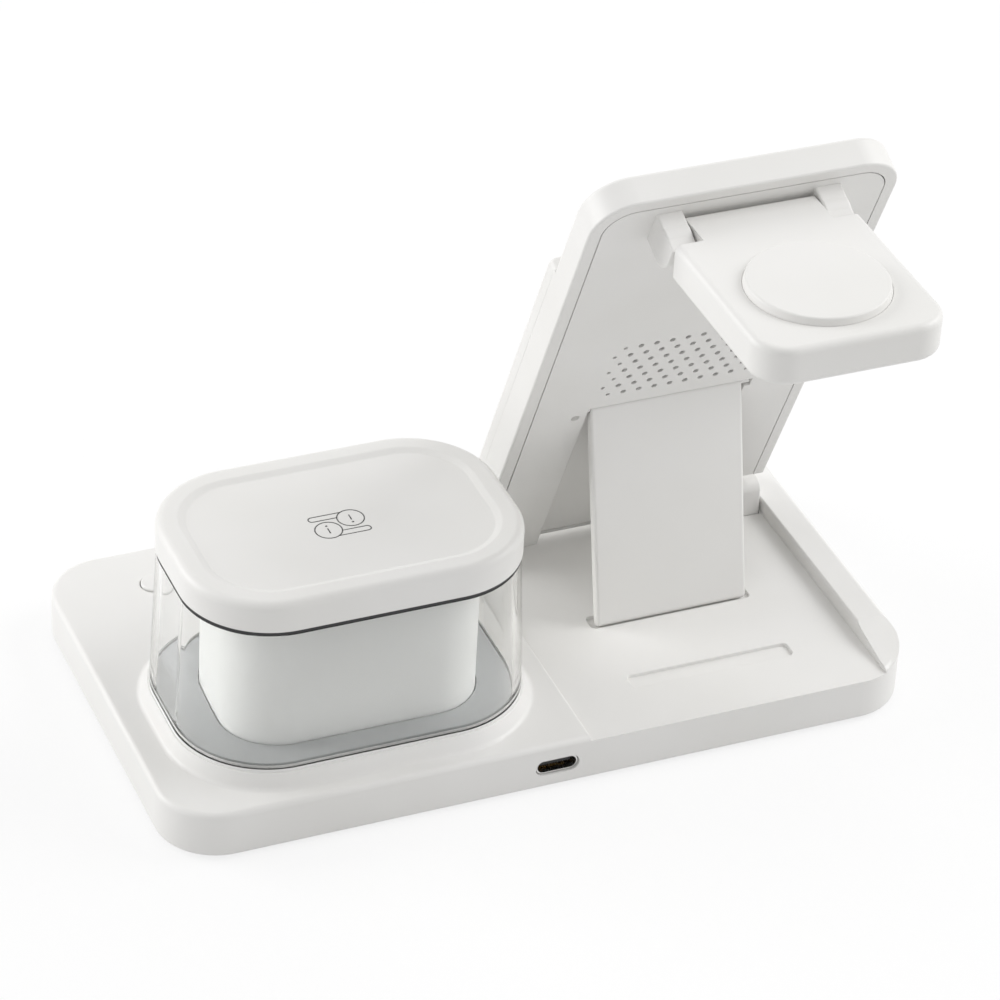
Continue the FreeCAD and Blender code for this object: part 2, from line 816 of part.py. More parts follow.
def cover_tail(margin):
    """Lower end of the back cover, which runs down to the base, grown by margin."""
    half = barrel_half() + margin
    low = -panel_heel - margin
    back = -half_panel - margin
    plate = block(-half, half, low, notch_reach + 1, back, back_cover_thickness - half_panel)
    half = pocket_width / 2 + tail_wall + margin
    floor_top = pocket_depth + pocket_floor - half_panel + margin
    return plate.fuse(block(-half, half, low, notch_reach + panel_wall + 1, back, floor_top))


def panel_front_shell():
    """Panel housing: front wall, rim and the hinge barrel at its foot."""
    shell = panel_slab(0, notch_reach, -half_panel, half_panel)
    rim_back = [e for e in level_edges(shell, -half_panel) if e.BoundBox.YMax > notch_reach + 1e-3]
    shell = shell.makeFillet(panel_back_round, rim_back)
    rim_front = [e for e in level_edges(shell, half_panel) if e.BoundBox.YMax > notch_reach + 1e-3]
    shell = shell.makeFillet(panel_front_round, rim_front)
    edge = panel_width / 2
    front_low = half_panel - panel_front_round
    shell = shell.fuse(block(-edge, edge, phone_pad_foot, phone_pad_top, front_low, half_panel))
    half = barrel_half()
    barrel = rod(half_panel, Vector(-half, 0, 0), Vector(half, 0, 0))
    web = block(-half, half, 0, notch_reach + 1, -half_panel, half_panel)
    heel = block(-half, half, -panel_heel, 0, -half_panel, 0)
    shell = shell.fuse(barrel.fuse(web).fuse(heel))
    foot = notch_reach
    cover_back = back_cover_thickness - half_panel
    shell = shell.cut(panel_slab(back_cover_inset, foot, -half_panel - 1, cover_back))
    shell = shell.cut(panel_slab(cover_ledge, foot + panel_wall, cover_back - 1, half_panel - panel_wall))
    shell = shell.cut(cover_tail(cover_seam))
    for side in (-1, 1):
        start = Vector(side * (half + 1), 0, 0)
        end = Vector(side * (half - hinge_pin_bite - hinge_pin_tip_gap), 0, 0)
        shell = shell.cut(rod(hinge_pin_radius + pin_running_gap, start, end))
    return in_stand(shell.removeSplitter())


def panel_back_cover():
    """Inset back cover with the strut's pocket, the ventilation grille and the watch plate's ears."""
    foot = notch_reach + cover_seam
    cover_back = back_cover_thickness - half_panel
    cover = panel_slab(back_cover_inset + cover_seam, foot, -half_panel, cover_back)
    tray_top = pocket_depth + pocket_floor - half_panel
    tray = block(-tray_half, tray_half, foot + panel_wall, tray_head, cover_back - tray_overlap, tray_top)
    cover = cover.fuse(tray).fuse(cover_tail(0)).cut(pocket_box())
    cover = cover.cut(strut_pin_rod(strut_pin_radius + pin_seat_gap))
    spot = Vector(pocket_width / 2 + dimple_gap, strut_hinge_reach - dimple_drop, -half_panel - 1)
    cover = cover.cut(Part.makeCylinder(dimple_radius, dimple_depth + 1, spot))
    edge = -pocket_width / 2
    cover = cover.cut(block(edge - hinge_notch_width, edge + 1, strut_hinge_reach - hinge_notch_foot,
                            strut_hinge_reach + pocket_head, -half_panel - 1, hinge_notch_depth - half_panel))
    cover = cover.fuse(watch_ear(-1)).fuse(watch_ear(1))
    cover = cover.cut(grille_relief()).cut(Part.makeCompound(grille_holes()))
    return in_stand(cover.removeSplitter())


def grille_relief():
    """Hollow inside the back cover that leaves only a thin skin for the vent holes."""
    foot = strut_hinge_reach + grille_gap - grille_margin
    head = foot + (grille_rows - 1) * grille_pitch_y + 2 * grille_margin
    half = (grille_columns / 2 + grille_stagger) * grille_pitch_x
    return block(-half, half, foot, head, grille_skin - half_panel, 0)


def grille_holes():
    """Staggered rows of round vent holes above the strut's pocket, smaller at the ends of each row."""
    holes = []
    first = strut_hinge_reach + grille_gap
    for row in range(grille_rows):
        shift = grille_stagger if row % 2 else -grille_stagger
        for column in range(grille_columns):
            x = (column - (grille_columns - 1) / 2 + shift) * grille_pitch_x
            spot = Vector(x, first + row * grille_pitch_y, -half_panel - 1)
            radius = grille_end_radius if column in (0, grille_columns - 1) else grille_hole_radius
            holes.append(Part.makeCylinder(radius, back_cover_thickness + 1, spot))
    return holes


def watch_ear(side):
    """Ear on the panel's back: square on top to stop the plate, round below to let it fold down."""
    x0, x1 = sorted((side * watch_width / 2, side * (watch_width / 2 - ear_width)))
    axis_y, axis_z = watch_axis_reach, -watch_clear
    root = back_cover_thickness / 2 - half_panel
    ear = rod(ear_radius, Vector(x0, axis_y, axis_z), Vector(x1, axis_y, axis_z))
    ear = ear.fuse(block(x0, x1, axis_y - ear_radius, axis_y, axis_z, root))
    ear = ear.fuse(block(x0, x1, axis_y, axis_y + ear_top, axis_z - ear_radius, root))
    hole_end = side * (watch_width / 2 - watch_pin_margin)
    start = Vector(0, axis_y, axis_z)
    ear = ear.removeSplitter()
    ear = ear.makeFillet(ear_edge_round, side_edges(ear, (x0, x1)))
    return ear.cut(rod(watch_pin_radius + pin_seat_gap, start, Vector(hole_end, axis_y, axis_z)))


def watch_pin():
    """Steel pin through both ears and the watch plate's tab."""
    half = watch_width / 2 - watch_pin_margin
    start = Vector(-half, watch_axis_reach, -watch_clear)
    return in_stand(rod(watch_pin_radius, start, Vector(half, watch_axis_reach, -watch_clear)))


def phone_pad():
    """Raised pad on the panel's front that the phone leans on."""
    length = phone_pad_top - phone_pad_foot
    middle = phone_pad_foot + length / 2
    top = half_panel + phone_pad_thickness
    pad = slab(0, middle, panel_width, length, phone_pad_corner, half_panel, top)
    return in_stand(round_level(pad, top, phone_pad_round))


def phone_coil_pair():
    """Ferrite and coil glued behind the panel's front wall."""
    z = half_panel - panel_wall - coil_thickness - ferrite_thickness
    ferrite, coil = coil_pair(phone_coil_radius, 0, phone_coil_reach, z)
    return in_stand(ferrite), in_stand(coil)


def panel_board():
    """Driver board on the inside of the panel's front wall, in the room beside the strut's pocket."""
    top = half_panel - panel_wall
    inner = tray_half + panel_board_gap
    outer = panel_width / 2 - cover_ledge - panel_board_gap
    middle = tray_head - panel_board_length / 2
    blank = slab((inner + outer) / 2, middle, outer - inner, panel_board_length, board_corner,
                 top - board_thickness, top)
    return in_stand(blank)


def strut_pin_rod(radius):
    """Straight rod on the strut's hinge line, its short end beside the dimple."""
    half = pocket_width / 2
    z = strut_hinge_depth - half_panel
    start = Vector(-half - strut_pin_bite, strut_hinge_reach, z)
    return rod(radius, start, Vector(half + strut_pin_dimple_bite, strut_hinge_reach, z))


def strut_pin():
    """Steel pin across the strut's pocket."""
    return in_stand(strut_pin_rod(strut_pin_radius))


def strut_plate():
    """Flat prop with a round foot that stands in the floor's groove."""
    hinge, foot = strut_line()
    x0 = stand_x - strut_width / 2
    x1 = stand_x + strut_width / 2
    radius = strut_thickness / 2
    lean = math.radians(strut_lean)
    side = (radius * math.cos(lean), radius * math.sin(lean))
    outline = [(hinge[0] + side[0], hinge[1] + side[1]), (foot[0] + side[0], foot[1] + side[1])]
    outline += [(foot[0] - side[0], foot[1] - side[1]), (hinge[0] - side[0], hinge[1] - side[1])]
    plate = profile_x(outline, x0, x1)
    for y, z in (hinge, foot):
        plate = plate.fuse(rod(radius, Vector(x0, y, z), Vector(x1, y, z)))
    plate = plate.removeSplitter()
    plate = plate.makeFillet(strut_edge_round, side_edges(plate, (x0, x1)))
    bore = rod(strut_pin_radius + pin_running_gap, Vector(x0 - 1, *hinge), Vector(x1 + 1, *hinge))
    return plate.cut(bore)


def watch_slab(inset, z0, z1):
    """Watch plate outline drawn in by inset, square at its neck."""
    axis_y = stand_point(watch_axis_reach, -watch_clear)[0]
    y0 = axis_y + watch_neck + inset
    y1 = axis_y + watch_reach - inset
    tail = watch_corner * 2
    full = slab(stand_x, (y0 + y1 - tail) / 2, watch_width - 2 * inset, y1 - y0 + tail,
                watch_corner - inset, z0, z1)
    return full, block(stand_x - watch_width, stand_x + watch_width, y0 - 2 * tail, y0, z0 - 1, z1 + 1)


def watch_levels():
    """Underside and top of the watch plate."""
    middle = stand_point(watch_axis_reach, -watch_clear)[1]
    return middle - watch_thickness / 2, middle + watch_thickness / 2


def watch_top_cover():
    """Watch plate housing with the hinge tab between the ears and the seat of the puck."""
    axis_y, axis_z = stand_point(watch_axis_reach, -watch_clear)
    low, high = watch_levels()
    full, rear = watch_slab(0, low, high)
    full = round_level(round_level(full, high, watch_edge_round), low, watch_edge_round)
    plate = full.cut(rear)
    tab = watch_width / 2 - ear_width - ear_gap
    x0, x1 = stand_x - tab, stand_x + tab
    barrel = rod(watch_thickness / 2, Vector(x0, axis_y, axis_z), Vector(x1, axis_y, axis_z))
    plate = plate.fuse(barrel.fuse(block(x0, x1, axis_y, axis_y + watch_neck + watch_wall, low, high)))
    heel = block(x0, x1, axis_y - watch_heel, axis_y, axis_z, high)
    heel_edge = [e for e in level_edges(heel, high) if e.BoundBox.YMax < axis_y - watch_heel / 2]
    plate = plate.fuse(heel.makeFillet(watch_heel_round, heel_edge))
    outer, behind = watch_slab(watch_wall, low - 1, low + watch_bottom_plate)
    plate = plate.cut(outer.cut(behind))
    inner, behind = watch_slab(2 * watch_wall, low, high - watch_wall)
    plate = plate.cut(inner.cut(behind))
    centre = puck_centre()
    seat = centre - Vector(0, 0, puck_sink)
    plate = plate.cut(Part.makeCylinder(puck_radius + puck_seam, puck_sink + 1, seat))
    start = Vector(x0 - 1, axis_y, axis_z)
    end = Vector(x1 + 1, axis_y, axis_z)
    return plate.cut(rod(watch_pin_radius + pin_running_gap, start, end)).removeSplitter()


def watch_bottom_cover():
    """Plate that closes the watch plate from below."""
    low = watch_levels()[0]
    outer, behind = watch_slab(watch_wall + cover_seam, low, low + watch_bottom_plate)
    return outer.cut(behind)


def puck_centre():
    """Middle of the puck, on the plate's top face."""
    axis_y = stand_point(watch_axis_reach, -watch_clear)[0]
    return Vector(stand_x, axis_y + watch_reach - puck_from_tip, watch_levels()[1])


def watch_puck():
    """Raised round seat that the watch snaps onto."""
    centre = puck_centre()
    seat = Part.makeCylinder(puck_radius, puck_sink, centre - Vector(0, 0, puck_sink))
    crown = Part.makeCone(puck_radius, puck_top_radius, puck_height, centre)
    puck = seat.fuse(crown).removeSplitter()
    return round_level(puck, centre.z + puck_height, puck_edge_round)


def watch_coil_pair():
    """Ferrite and coil glued under the watch plate's top wall."""
    centre = puck_centre()
    z = centre.z - watch_wall - coil_thickness - ferrite_thickness
    return coil_pair(watch_coil_radius, centre.x, centre.y, z)


def build():
    """Every piece of the charger by name."""
    lid_floor = lid_bottom + lid_plate_thickness
    earbud_ferrite, earbud_coil = coil_pair(earbud_coil_radius, lamp_x, lamp_y, lid_floor)
    phone_ferrite, phone_coil = phone_coil_pair()
    watch_ferrite, watch_coil = watch_coil_pair()
    return {
        "base_top_cover": base_top_cover(),
        "base_bottom_cover": base_bottom_cover(),
        "anti_slip_pad": anti_slip_pad(),
        "base_screws": base_screws(),
        "main_board": board(main_board_place()),
        "board_components": board_components(),
        "port_shell": port_shell(),
        "port_tongue": port_tongue(),
        "button_cap": button_cap(),
        "button_board": board(button_board_place()),
        "button_switch": button_switch(),
        "lamp_shell": lamp_shell(),
        "lamp_core": lamp_core(),
        "lamp_floor_ring": lamp_floor_ring(),
        "led_board": led_board(),
        "led_chips": led_chips(),
        "lid_seal": lid_seal(),
        "lamp_lid": lamp_lid(),
        "lid_plate": lid_plate(),
        "earbud_ferrite": earbud_ferrite,
        "earbud_coil": earbud_coil,
        "hinge_bracket_right": hinge_bracket(-1),
        "hinge_bracket_left": hinge_bracket(1),
        "bracket_screws": bracket_screws(),
        "hinge_pins": hinge_pins(),
        "panel_front_shell": panel_front_shell(),
        "panel_back_cover": panel_back_cover(),
        "phone_pad": phone_pad(),
        "phone_ferrite": phone_ferrite,
        "phone_coil": phone_coil,
        "panel_board": panel_board(),
        "strut_plate": strut_plate(),
        "strut_pin": strut_pin(),
        "watch_pin": watch_pin(),
        "watch_top_cover": watch_top_cover(),
        "watch_bottom_cover": watch_bottom_cover(),
        "watch_puck": watch_puck(),
        "watch_ferrite": watch_ferrite,
        "watch_coil": watch_coil,
    }


os.makedirs("parts", exist_ok=True)
for node, shape in build().items():
    shape.exportStep("parts/" + node + ".step")
    print(node, len(shape.Solids), round(shape.Volume, 1), shape.isValid())
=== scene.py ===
import json
import math

import bpy
import numpy as np
from mathutils import Matrix, Vector


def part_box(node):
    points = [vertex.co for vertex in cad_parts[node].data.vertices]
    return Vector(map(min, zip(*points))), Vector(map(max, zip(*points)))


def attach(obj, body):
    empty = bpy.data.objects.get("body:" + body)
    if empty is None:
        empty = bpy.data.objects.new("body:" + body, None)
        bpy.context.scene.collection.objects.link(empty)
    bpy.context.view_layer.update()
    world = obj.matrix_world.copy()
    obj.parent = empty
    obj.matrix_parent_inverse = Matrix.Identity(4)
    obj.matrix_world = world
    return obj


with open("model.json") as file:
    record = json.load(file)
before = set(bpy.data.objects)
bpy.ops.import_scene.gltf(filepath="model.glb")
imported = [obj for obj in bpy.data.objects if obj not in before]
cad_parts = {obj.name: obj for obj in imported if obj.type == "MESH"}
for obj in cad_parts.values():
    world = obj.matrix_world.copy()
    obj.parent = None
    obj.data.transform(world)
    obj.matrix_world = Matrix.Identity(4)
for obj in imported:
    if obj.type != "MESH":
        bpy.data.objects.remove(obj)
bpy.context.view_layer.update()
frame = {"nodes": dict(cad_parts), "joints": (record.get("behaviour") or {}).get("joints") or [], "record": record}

# wireless charging station, metres, CAD frame: +Z up, charge port towards +Y, night light at +X
mm = 0.001
nodes = frame["nodes"]


# colours and nodes

def linear(hexText):
    # sRGB hex to the linear values that the shader sockets take
    channels = np.array([int(hexText[i:i + 2], 16) for i in (1, 3, 5)]) / 255
    light = np.where(channels <= 0.04045, channels / 12.92, ((channels + 0.055) / 1.055) ** 2.4)
    return (*light.tolist(), 1.0)


def add(tree, kind, settings=None, **sockets):
    # one node: settings are its own options, sockets are values or links by input name
    node = tree.nodes.new(kind)
    for name, value in (settings or {}).items():
        setattr(node, name, value)
    for name, value in sockets.items():
        socket = node.inputs[name.replace("_", " ")]
        if isinstance(value, bpy.types.NodeSocket):
            tree.links.new(value, socket)
        else:
            socket.default_value = value
    return node


def blank(name):
    # new material with only its output node
    material = bpy.data.materials.new(name)
    material.use_nodes = True
    tree = material.node_tree
    tree.nodes.clear()
    return material, tree, add(tree, "ShaderNodeOutputMaterial")


# materials, each from what the real piece is made of

def mouldedPlastic(name, look):
    # injection-moulded plastic from a spark-eroded tool: an even satin skin with a very fine grain,
    # slow drifts of tone from flow in the mould, and corners that catch a soft line of light
    material, tree, output = blank(name)
    place = add(tree, "ShaderNodeTexCoord").outputs["Object"]
    slow = add(tree, "ShaderNodeTexNoise", Vector=place, Scale=1 / (look["driftMm"] * mm), Detail=2.0)
    tone = add(tree, "ShaderNodeValToRGB", Fac=slow.outputs["Fac"])
    for stop, position, shade in zip(tone.color_ramp.elements, look["toneStops"], ("dark", "light")):
        stop.position, stop.color = position, linear(look[shade])
    grain = add(tree, "ShaderNodeTexNoise", Vector=place, Scale=1 / (look["grainMm"] * mm), Detail=3.0)
    middle, spread = look["rough"], look["roughSpread"]
    rough = add(tree, "ShaderNodeMapRange", Value=grain.outputs["Fac"],
                To_Min=middle - spread, To_Max=middle + spread)
    edge = add(tree, "ShaderNodeBevel", {"samples": 4}, Radius=look["edgeMm"] * mm)
    bump = add(tree, "ShaderNodeBump", Height=grain.outputs["Fac"], Strength=look["bump"],
               Distance=look["grainDepthMm"] * mm, Normal=edge.outputs["Normal"])
    shader = add(tree, "ShaderNodeBsdfPrincipled", Base_Color=tone.outputs["Color"],
                 Roughness=rough.outputs["Result"], IOR=look["ior"], Normal=bump.outputs["Normal"])
    tree.links.new(shader.outputs["BSDF"], output.inputs["Surface"])
    return material


# white ABS for the housings; the tool's grain is about 0.05 mm, drawn at 0.3 mm so that it shows
absLook = {"dark": "#EAE9E6", "light": "#EFEEEC", "toneStops": (0.3, 0.7), "driftMm": 35,
           "grainMm": 0.3, "grainDepthMm": 0.02, "bump": 0.12, "rough": 0.42, "roughSpread": 0.05,
           "edgeMm": 0.25, "ior": 1.53}
whiteAbs = mouldedPlastic("moulded_white_abs", absLook)
# opal polycarbonate, moulded satin: less grain, and a little darker and cooler than the housing
diffuserWhite = mouldedPlastic("satin_diffuser_polycarbonate", {
    **absLook, "dark": "#DBDCDB", "light": "#E0E1E0", "rough": 0.5, "bump": 0.05, "ior": 1.58})
# grey ABS, moulded satin: an even mid grey with a slight gloss
greyPlastic = mouldedPlastic("satin_grey_abs", {
    **absLook, "dark": "#A6A8A9", "light": "#ADAFB0", "rough": 0.38})
# nylon with glass fibre: black, with a coarser skin where the fibres come up
blackPlastic = mouldedPlastic("black_glass_filled_nylon", {
    **absLook, "dark": "#131313", "light": "#1B1B1C", "rough": 0.5, "bump": 0.3})
# nitrile rubber, moulded smooth: soft black with a low gloss
sealRubber = mouldedPlastic("black_nitrile_gasket", {
    **absLook, "dark": "#1B1C1D", "light": "#242526", "rough": 0.35, "ior": 1.52})
# silicone, moulded coarse for grip: dull grey
padRubber = mouldedPlastic("grey_silicone_pad", {
    **absLook, "dark": "#5C5D5E", "light": "#666768", "grainMm": 0.5, "bump": 0.5, "rough": 0.75,
    "ior": 1.42})
# phosphor in cured resin: yellow and fairly glossy
ledResin = mouldedPlastic("yellow_phosphor_resin", {
    **absLook, "dark": "#E3C35A", "light": "#EBD27A", "rough": 0.3})
# solder mask cured on a circuit board: satin green
solderMask = mouldedPlastic("green_solder_mask", {
    **absLook, "dark": "#1F5A3A", "light": "#256644", "rough": 0.35})
# ferrite, pressed and sintered: dull charcoal
ferriteBlack = mouldedPlastic("sintered_ferrite", {
    **absLook, "dark": "#2B2B2D", "light": "#343437", "rough": 0.7})


def clearAcrylic(name, look):
    # polished cast acrylic: almost no tint, sharp reflections and faint ripples left by the mould. Its
    # index is below acrylic's 1.49, because the wall in the photo bends what is behind it very little.
    # Lamps pass through it, so that the diffuser inside is lit. Near its foot it is matt white instead of clear: a
    # painted highlight for the light that the wall carries down onto the white base
    material, tree, output = blank(name)
    place = add(tree, "ShaderNodeTexCoord").outputs["Object"]
    ripple = add(tree, "ShaderNodeTexNoise", Vector=place, Scale=1 / (look["rippleMm"] * mm), Detail=1.0)
    bump = add(tree, "ShaderNodeBump", Height=ripple.outputs["Fac"], Strength=look["bump"],
               Distance=look["rippleDepthMm"] * mm)
    haze = add(tree, "ShaderNodeMapRange", Value=ripple.outputs["Fac"], To_Min=0.0, To_Max=look["rough"])
    glass = add(tree, "ShaderNodeBsdfPrincipled", Base_Color=linear(look["tint"]), IOR=look["ior"],
                Roughness=haze.outputs["Result"], Transmission_Weight=1.0, Normal=bump.outputs["Normal"])
    lampRay = add(tree, "ShaderNodeLightPath").outputs["Is Shadow Ray"]
    clear = add(tree, "ShaderNodeBsdfTransparent", Color=linear(look["shadow"]))
    mix = add(tree, "ShaderNodeMixShader", Fac=lampRay)
    tree.links.new(glass.outputs["BSDF"], mix.inputs[1])
    tree.links.new(clear.outputs["BSDF"], mix.inputs[2])
    # painted highlight: below this height the shell is matt white, in place of the bright band the clear wall
    # shows at its foot
    height = add(tree, "ShaderNodeSeparateXYZ", Vector=place).outputs["Z"]
    foot = add(tree, "ShaderNodeMath", {"operation": "LESS_THAN"})
    tree.links.new(height, foot.inputs[0])
    foot.inputs[1].default_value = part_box("lamp_shell")[0].z + look["paintedFootMm"] * mm
    paintedFootLight = add(tree, "ShaderNodeBsdfDiffuse", Color=linear(look["paintedFootLight"]))
    whole = add(tree, "ShaderNodeMixShader", Fac=foot.outputs[0])
    tree.links.new(mix.outputs["Shader"], whole.inputs[1])
    tree.links.new(paintedFootLight.outputs["BSDF"], whole.inputs[2])
    tree.links.new(whole.outputs["Shader"], output.inputs["Surface"])
    return material


# the foot colour and height here give the painted highlight band at the shell's foot
acrylic = clearAcrylic("polished_clear_acrylic", {
    "tint": "#FDFDFC", "shadow": "#F6F6F5", "paintedFootLight": "#F0F0EE", "paintedFootMm": 0.7, "ior": 1.3, "rough": 0.03,
    "rippleMm": 9, "rippleDepthMm": 0.05, "bump": 0.04})


def drawnMetal(name, look):
    # plated or drawn metal: fine marks along the draw direction spread the highlight
    material, tree, output = blank(name)
    place = add(tree, "ShaderNodeTexCoord").outputs["Object"]
    stretched = add(tree, "ShaderNodeMapping", Vector=place, Scale=look["stretch"])
    marks = add(tree, "ShaderNodeTexNoise", Vector=stretched.outputs["Vector"],
                Scale=1 / (look["markMm"] * mm))
    middle, spread = look["rough"], look["roughSpread"]
    rough = add(tree, "ShaderNodeMapRange", Value=marks.outputs["Fac"],
                To_Min=middle - spread, To_Max=middle + spread)
    tone = add(tree, "ShaderNodeHueSaturation", Color=linear(look["colour"]))
    darkest, lightest = look["toneRange"]
    level = add(tree, "ShaderNodeMapRange", Value=marks.outputs["Fac"], To_Min=darkest, To_Max=lightest)
    tree.links.new(level.outputs["Result"], tone.inputs["Value"])
    shader = add(tree, "ShaderNodeBsdfPrincipled", Base_Color=tone.outputs["Color"], Metallic=1.0,
                 Roughness=rough.outputs["Result"])
    tree.links.new(shader.outputs["BSDF"], output.inputs["Surface"])
    return material


# nickel on steel: a pale grey shine with no direction
steelLook = {"colour": "#C9C8C6", "toneRange": (0.94, 1.04), "rough": 0.26, "roughSpread": 0.06,
             "markMm": 0.15, "stretch": (1, 1, 1)}
nickelSteel = drawnMetal("nickel_plated_steel", steelLook)
# stainless sheet, drawn along Y: marks ten times as long that way
portSteel = drawnMetal("drawn_stainless_shell", {**steelLook, "colour": "#D3D2D0", "stretch": (1, 0.1, 1)})
# wound copper wire under clear enamel: reddish, with a softer shine
copperWire = drawnMetal("enamelled_copper", {**steelLook, "colour": "#B8693D", "rough": 0.34})
# thin gold plate on the contacts: warm and bright
goldFlash = drawnMetal("gold_flashed_contact", {**steelLook, "colour": "#E2B766", "rough": 0.22})

finishedNodes = {
    whiteAbs: ["base_top_cover", "base_bottom_cover", "lamp_lid", "lid_plate", "hinge_bracket_right",
               "hinge_bracket_left", "panel_front_shell", "panel_back_cover", "phone_pad", "strut_plate",
               "watch_top_cover", "watch_bottom_cover", "watch_puck", "button_cap"],
    diffuserWhite: ["lamp_core"],
    acrylic: ["lamp_shell"],
    greyPlastic: ["lamp_floor_ring"],
    sealRubber: ["lid_seal"],
    padRubber: ["anti_slip_pad"],
    blackPlastic: ["port_tongue", "button_switch", "board_components"],
    ledResin: ["led_chips"],
    solderMask: ["main_board", "button_board", "led_board", "panel_board"],
    ferriteBlack: ["earbud_ferrite", "phone_ferrite", "watch_ferrite"],
    nickelSteel: ["base_screws", "bracket_screws", "hinge_pins", "strut_pin", "watch_pin"],
    portSteel: ["port_shell"],
    copperWire: ["earbud_coil", "phone_coil", "watch_coil"],
}
for material, names in finishedNodes.items():
    for name in names:
        slots = nodes[name].data.materials
        slots.clear()
        slots.append(material)
print("materials on", sum(len(names) for names in finishedNodes.values()), "nodes")


# meshes from grids

def gridFaces(rows, columns, wrapRows=False, wrapColumns=False):
    # corner numbers of every quad of a rows x columns grid of points, one array row for each quad
    rowStarts = np.arange(rows if wrapRows else rows - 1)
    columnStarts = np.arange(columns if wrapColumns else columns - 1)
    row, column = np.meshgrid(rowStarts, columnStarts, indexing="ij")
    nextRow, nextColumn = (row + 1) % rows, (column + 1) % columns
    corners = [row * columns + column, nextRow * columns + column,
               nextRow * columns + nextColumn, row * columns + nextColumn]
    return np.stack(corners, -1).reshape(-1, 4)


def piece(name, points, faces, material, body):
    # points and quads into a mesh object at the origin that rides on a body
    mesh = bpy.data.meshes.new(name)
    mesh.vertices.add(len(points))
    mesh.vertices.foreach_set("co", points.astype(np.float32).ravel())
    mesh.loops.add(faces.size)
    mesh.loops.foreach_set("vertex_index", faces.astype(np.int32).ravel())
    mesh.polygons.add(len(faces))
    mesh.polygons.foreach_set("loop_start", np.arange(0, faces.size, 4, dtype=np.int32))
    mesh.update(calc_edges=True)
    mesh.validate()
    mesh.materials.append(material)
    made = bpy.data.objects.new(name, mesh)
    bpy.context.scene.collection.objects.link(made)
    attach(made, body)
    return made


def inkLine(path, closed, width, height, z):
    # a printed line: at each point of the path, four corners of a flat strip, width/2 to each side
    ahead = np.roll(path, -1, 0) - np.roll(path, 1, 0)
    if not closed:
        ahead[0], ahead[-1] = path[1] - path[0], path[-1] - path[-2]
    ahead = ahead / np.linalg.norm(ahead, axis=1)[:, None]
    side = np.stack([-ahead[:, 1], ahead[:, 0]], -1) * width / 2
    left, right = path + side, path - side
    low, high = np.full(len(path), z), np.full(len(path), z + height)
    edges = ((left, low), (right, low), (right, high), (left, high))
    corners = [np.column_stack([edge, level]) for edge, level in edges]
    points = np.stack(corners, 1).reshape(-1, 3)
    faces = gridFaces(len(path), 4, closed, True)
    if not closed:
        last = 4 * (len(path) - 1)
        faces = np.vstack([faces, [[0, 1, 2, 3]], [[last + 3, last + 2, last + 1, last]]])
    return points, faces


def joined(parts):
    # several point and face arrays as one
    starts = np.cumsum([0] + [len(points) for points, faces in parts[:-1]])
    allFaces = [faces + start for (points, faces), start in zip(parts, starts)]
    return np.vstack([points for points, faces in parts]), np.vstack(allFaces)


# printed mark on the lid: two earbuds head to tail, each a round head with a dash and a dot, and a stem
lidMark = {"centre": (36.4, 15.4), "headOffset": (-2.76, -1.32), "headRadius": 2.7, "headPoints": 64,
           "stemWidth": 1.5, "stemInset": 0.35, "stemReach": 8.2, "capPoints": 17, "dash": (-1.1, 0.65),
           "dot": 1.4, "dotRadius": 0.13, "dotPoints": 12, "line": 0.26, "height": 0.02}
# pad-printed ink: a thin matt grey film
inkGrey = mouldedPlastic("grey_pad_print_ink", {
    **absLook, "dark": "#7D7D7C", "light": "#868685", "rough": 0.6})


def arc(centre, radius, angle):
    # the centre plus radius times the cosine and sine of each angle
    return np.column_stack([centre[0] + radius * np.cos(angle), centre[1] + radius * np.sin(angle)])


def earbud(spec, turn):
    # head: circle. stem: two lines along X joined by a half circle, starting where they leave the circle.
    # A turn of -1 puts every point on the other side of the mark's centre
    headX, headY = spec["headOffset"]
    radius, wide = spec["headRadius"], spec["stemWidth"]
    around = np.linspace(0, 2 * np.pi, spec["headPoints"], endpoint=False)
    head = arc((headX, headY), radius, around)
    outer = headY - radius + spec["stemInset"]
    inner = outer + wide
    startX = headX + np.sqrt(radius ** 2 - (np.array([outer, inner]) - headY) ** 2)
    endX = headX + spec["stemReach"] - wide / 2
    bend = arc((endX, (outer + inner) / 2), wide / 2, np.linspace(-np.pi / 2, np.pi / 2, spec["capPoints"]))
    stem = np.vstack([[[startX[0], outer]], bend, [[startX[1], inner]]])
    dash = np.column_stack([[headX, headX], headY + np.array(spec["dash"])])
    small = np.linspace(0, 2 * np.pi, spec["dotPoints"], endpoint=False)
    dot = arc((headX, headY + spec["dot"]), spec["dotRadius"], small)
    return [(turn * head, True), (turn * stem, False), (turn * dash, False), (turn * dot, True)]


def makeLidMark(spec):
    # every line of both earbuds as a strip of ink on the floor of the lid's dish
    floorZ = next(m["pos_m"][2] for m in frame["record"]["mounts"] if m["name"] == "earbud_rest")
    lines = []
    for turn in (1, -1):
        for path, closed in earbud(spec, turn):
            path = (path + np.array(spec["centre"])) * mm
            lines.append(inkLine(path, closed, spec["line"] * mm, spec["height"] * mm, floorZ))
    points, faces = joined(lines)
    return piece("lid_earbud_mark", points, faces, inkGrey, "base")


makeLidMark(lidMark)

# gold contacts along both faces of the port's tongue
contacts = {"count": 12, "pitch": 0.5, "width": 0.25, "length": 2.6, "thick": 0.03, "tipGap": 1.4,
            "halfTongue": 0.35}


